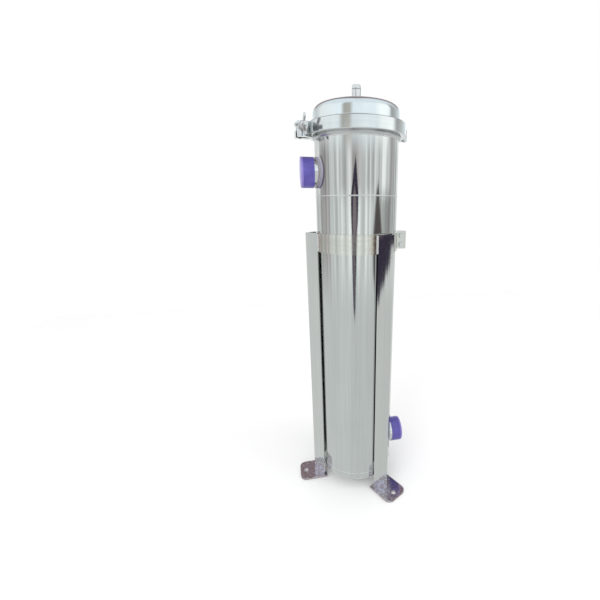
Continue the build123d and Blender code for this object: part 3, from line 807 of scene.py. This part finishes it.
def bead(name, path, out, side, width, rise, ripples, finish, closed=True):
    """Half-round bead: at each point of the path, out lifts and side spreads the section.

    A section point at angle a is path + side * width / 2 * cos(a) + out * rise * sin(a), where the
    half under the surface is flatter and roots the bead in the steel.
    """
    rows = len(path)
    length = np.linspace(0, 1, rows, endpoint=not closed)
    swell = ripple(length, ripples)[:, None, None]
    a = np.linspace(0, 2 * np.pi, BEAD_SIDES, endpoint=False)
    across = np.cos(a)[None, :, None] * width / 2
    lift = np.where(np.sin(a) > 0, np.sin(a) * rise, np.sin(a) * rise * BEAD_ROOT)[None, :, None]
    points = path[:, None, :] + side[:, None, :] * across * swell + out[:, None, :] * lift * swell
    piece = make_piece(name, points, wrap_rows=closed, caps=not closed)
    face_outwards(piece)
    piece.data.materials.append(finish)
    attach(piece, "housing")
    return piece


def level_bead(name, radius, z, width, rise, finish, ripples=150, steps=600):
    """Bead round the vessel at a height: the path is a circle of a radius about Z."""
    a = np.linspace(0, 2 * np.pi, steps, endpoint=False)
    out = np.stack([np.cos(a), np.sin(a), np.zeros(steps)], axis=1)
    path = out * radius + np.array([0, 0, z])
    side = np.tile([0.0, 0.0, 1.0], (steps, 1))
    return bead(name, path, out, side, width, rise, ripples, finish)


vent_r = middle_and_half("vent_socket")[1].x
level_bead("weld_mid_seam", shell_r, seam_z, 0.0030, 0.0005, weld_steel_highlight)
level_bead("weld_bottom_seam", shell_r, bottom_seam_z, 0.0034, 0.0006, weld_steel_highlight)
level_bead("weld_flange_seam", shell_r, flange_seam_z, 0.0030, 0.0006, weld_steel_highlight)
level_bead("weld_lid_seam", lid_r, lid_seam_z, 0.0022, 0.0003, lid_steel)
level_bead("weld_vent_socket", vent_r, lid_top_z, 0.0032, 0.0012, weld_steel_highlight, ripples=60, steps=240)
print("level beads done")

# %% [markdown]
# ## Beads round the ports
# Where a stub goes through the shell, the joint is a saddle: a circle seen along the stub that
# bends with the shell. A cutting tool could find that line, but two circles are easy to
# intersect by formula, and the formula also gives the direction in which the bead stands.

# %% Saddle beads round the ports
PORT_BEAD = {"width": 0.0052, "rise": 0.0016, "ripples": 90}


def port_bead(name, sign, z, finish, steps=480):
    """Bead where a stub meets the shell.

    The stub is the circle y = r cos(t), z = z0 + r sin(t), and the shell gives x = sqrt(R^2 - y^2).
    The bead lifts halfway between the shell's outward normal and the stub's.
    """
    t = np.linspace(0, 2 * np.pi, steps, endpoint=False)
    y, up = port_r * np.cos(t), port_r * np.sin(t)
    x = np.sqrt(shell_r ** 2 - y ** 2)
    path = np.stack([sign * x, y, z + up], axis=1)
    from_shell = np.stack([sign * x, y, np.zeros(steps)], axis=1) / shell_r
    from_stub = np.stack([np.zeros(steps), np.cos(t), np.sin(t)], axis=1)
    out = from_shell + from_stub
    out /= np.linalg.norm(out, axis=1, keepdims=True)
    side = from_shell - from_stub
    side /= np.linalg.norm(side, axis=1, keepdims=True)
    return bead(name, path, out, side, finish=finish, **PORT_BEAD)


port_bead("weld_inlet", -1, inlet_z, tinted_weld)
port_bead("weld_outlet", 1, outlet_z, tinted_weld)
print("port beads done")

# %% [markdown]
# ## Leg welds
# Each leg is an angle with its toes on the band, welded down both of them, and to its foot plate
# round the outside. All three legs are alike, so every bead is worked out once for a leg that
# stands at +X and is then turned about the axis.

# %% Leg beads
LEG_TURNS = {"inlet": 180, "front": 300, "rear": 60}
LEG_SIDE = 0.040
TOE_BEAD = {"width": 0.0066, "rise": 0.0022, "ripples": 16, "finish": weld_steel_highlight}
TOE_BEAD_OUT = 0.0012
TOE_BEAD_END = 0.002
FOOT_BEAD = {"width": 0.0055, "rise": 0.0018, "ripples": 34, "finish": tinted_weld}
HEEL_ROUNDING = 40
leg_heel = -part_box("leg_inlet")[0][0]
toe_reach = LEG_SIDE / math.sqrt(2)


def turned_about_z(points, degrees):
    """Points turned about Z: x cos - y sin, x sin + y cos."""
    a = math.radians(degrees)
    turn = np.array([[math.cos(a), math.sin(a), 0], [-math.sin(a), math.cos(a), 0], [0, 0, 1]])
    return points @ turn


def toe_bead(place, degrees, sign, steps=160):
    """Upright bead where a toe meets the band: x = sqrt(R^2 - y^2) at the toe's y.

    It leans halfway between the band's outward normal and the Y axis.
    """
    toe_y = toe_reach * sign
    toe_x = math.sqrt(band_r ** 2 - toe_y ** 2) + TOE_BEAD_OUT
    z = np.linspace(band_low_z + TOE_BEAD_END, band_top_z - TOE_BEAD_END, steps)
    path = np.stack([np.full(steps, toe_x), np.full(steps, toe_y), z], axis=1)
    out = np.tile(np.array([toe_x, toe_y + sign * band_r, 0]) / band_r, (steps, 1))
    out /= np.linalg.norm(out, axis=1, keepdims=True)
    side = np.stack([-out[:, 1], out[:, 0], out[:, 2]], axis=1)
    name = f"weld_leg_{place}_{'left' if sign > 0 else 'right'}"
    turned = [turned_about_z(part, degrees) for part in (path, out, side)]
    return bead(name, *turned, **TOE_BEAD, closed=False)


def foot_bead(place, degrees, steps=200):
    """Bead on the foot plate round the outside of the leg: a V from toe to heel to toe.

    Along t from -1 to 1 it is x = heel - |t| reach, y = t reach.
    """
    t = np.linspace(-1, 1, steps)
    path = np.stack([leg_heel - np.abs(t) * toe_reach, t * toe_reach, np.full(steps, foot_top_z)], axis=1)
    away = np.stack([np.ones(steps), np.clip(t * HEEL_ROUNDING, -1, 1), np.ones(steps)], axis=1)
    out = away / np.linalg.norm(away, axis=1, keepdims=True)
    flat = np.stack([away[:, 0], away[:, 1], -1.0 - np.abs(away[:, 1])], axis=1)
    side = flat / np.linalg.norm(flat, axis=1, keepdims=True)
    turned = [turned_about_z(part, degrees) for part in (path, out, side)]
    return bead(f"weld_foot_{place}", *turned, **FOOT_BEAD, closed=False)


for place, degrees in LEG_TURNS.items():
    toe_bead(place, degrees, 1)
    toe_bead(place, degrees, -1)
    foot_bead(place, degrees)
print("leg beads done, heel at", round(leg_heel, 4))

# %% [markdown]
# ## Screw threads
# The CAD bolts are smooth. A thread is a ridge that climbs one pitch for each turn, so the
# radius is a triangle wave of the turn and the height together. A sleeve of that shape over the
# smooth shank shows the thread where it stands clear.

# %% Thread helper
THREAD_DEPTH = 0.55
THREAD_START = 0.2
THREAD_OVER = 0.00002


def thread(name, start, along, length, radius, pitch, body, steps_round=28, steps_pitch=6):
    """Threaded sleeve from a start along a direction: radius = r - depth * |2 phase - 1|.

    The phase is the fraction of z / pitch - turn, and the depth dies out at both ends.
    """
    along = Vector(along).normalized()
    first = along.orthogonal().normalized()
    second = along.cross(first)
    rows = int(length / pitch * steps_pitch) + 1
    z = np.linspace(0, length, rows)[:, None]
    a = np.linspace(0, 2 * np.pi, steps_round, endpoint=False)[None, :]
    phase = (z / pitch - a / (2 * np.pi)) % 1.0
    from_end = np.minimum(z, length - z) / pitch
    depth = THREAD_DEPTH * pitch * np.minimum(1, from_end + THREAD_START)
    r = radius - depth * np.abs(2 * phase - 1) + THREAD_OVER
    axes = [np.array(v) for v in (first, second, along)]
    points = np.array(start) + (r * np.cos(a))[..., None] * axes[0]
    points = points + (r * np.sin(a))[..., None] * axes[1] + (z + 0 * a)[..., None] * axes[2]
    piece = make_piece(name, points, caps=True)
    face_outwards(piece)
    piece.data.materials.append(bolt_steel)
    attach(piece, body)
    return piece


print("thread helper ready")

# %% [markdown]
# ## The felt bag
# The bag hangs in its basket, so it is a long cup a little smaller than the basket, pressed out
# by the liquid between the slots and drawn in at its seam, which runs down one side. Cloth
# simulation would take minutes for a piece that the closed lid hides, so the folds are a
# sum of waves taken off the radius.

# %% Bag
BAG_GAP = 0.0004
BAG_WALL = 0.002
BAG_CORNER = 0.014
BAG_FLOOR_RINGS = 11
BAG_CORNER_RINGS = 9
BAG_SIDE_RINGS = 150
BAG_AROUND = 120
BAG_SMALLEST = (0.0005, 0.0004)
FOLD_DEPTH = 0.0006
FOLD_FADE = 0.05
SEAM_DEPTH = 0.0010
SEAM_AT = 2.1
SEAM_HALF = 0.03


def felt_bag():
    """Cup of radius r0 - folds - seam, made of an outer and an inner sheet in one profile.

    The folds are d (1 + sin(5 t + 3 sin(9 z))), and the seam is a bell curve of the angle t.
    """
    low, high = (Vector(v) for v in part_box("filter_bag"))
    r0 = (high.x - low.x) / 2 - BAG_GAP
    top, bottom = high.z, low.z + BAG_GAP
    corner_z = bottom + BAG_CORNER
    a = np.linspace(0, np.pi / 2, BAG_CORNER_RINGS + 1)[:-1]
    floor_r = (r0 - BAG_CORNER) * np.linspace(0.02, 1, BAG_FLOOR_RINGS + 1)[:-1]
    corner_r = r0 - BAG_CORNER + BAG_CORNER * np.sin(a)
    outer_r = np.concatenate([floor_r, corner_r, np.full(BAG_SIDE_RINGS, r0)])
    side_z = np.linspace(corner_z, top, BAG_SIDE_RINGS)
    outer_z = np.concatenate([np.full(BAG_FLOOR_RINGS, bottom), corner_z - BAG_CORNER * np.cos(a), side_z])
    inner_r = np.maximum(outer_r[::-1] - BAG_WALL, BAG_SMALLEST[0])
    inner_z = np.where(outer_z[::-1] < corner_z, outer_z[::-1] + BAG_WALL, outer_z[::-1])
    r = np.concatenate([outer_r, inner_r])[:, None]
    z = np.concatenate([outer_z, inner_z])[:, None]
    t = np.linspace(0, 2 * np.pi, BAG_AROUND, endpoint=False)[None, :]
    folds = FOLD_DEPTH * (1 + np.sin(5 * t + 3 * np.sin(9 * z))) * np.clip((top - z) / FOLD_FADE, 0, 1)
    seam = SEAM_DEPTH * np.exp(-((np.angle(np.exp(1j * (t - SEAM_AT)))) / SEAM_HALF) ** 2)
    radius = np.maximum(r - (folds + seam) * np.clip(r / r0, 0, 1), BAG_SMALLEST[1])
    points = np.stack([radius * np.cos(t), radius * np.sin(t), z + 0 * t], axis=-1)
    piece = make_piece("felt_bag", points, caps=True)
    face_outwards(piece)
    piece.data.materials.append(bag_felt)
    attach(piece, "housing")
    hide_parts("filter_bag")
    return piece


bag = felt_bag()
print("bag height", round(bag.dimensions.z, 3))

# %% [markdown]
# ## Threads on the bolts
# Three shanks show a thread: the eye bolt of the closure along its outer part, and the two bolts
# of the band past their nuts. Their places come from the joints and the boxes, so each
# sleeve stays on its own shank, and the one on the eye bolt swings with it.

# %% Shaft threads
SWING_THREAD_START = 0.0240
SWING_THREAD_LENGTH = 0.0448
NUT_OVERLAP = 0.001
END_GAP = 0.0002
swing = next(joint for joint in frame["joints"] if joint["name"] == "swing_bolt_pivot")
nut = next(joint for joint in frame["joints"] if joint["name"] == "nut_travel")
pivot = Vector(swing["pos_m"])
along = Vector(nut["axis"])
swing_start = pivot + along * SWING_THREAD_START
thread("thread_swing_bolt", swing_start, along, SWING_THREAD_LENGTH, 0.0050, 0.0015, "swing_bolt")
for place in ("upper", "lower"):
    low, high = (Vector(v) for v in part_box(f"band_bolt_{place}"))
    centre = Vector(((low.x + high.x) / 2, 0, (low.z + high.z) / 2))
    start = Vector((centre.x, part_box(f"band_nut_{place}")[1][1] - NUT_OVERLAP, centre.z))
    length = high.y - start.y - END_GAP
    thread(f"thread_band_{place}", start, (0, 1, 0), length, 0.0040, 0.00125, "housing")
print("threads done")
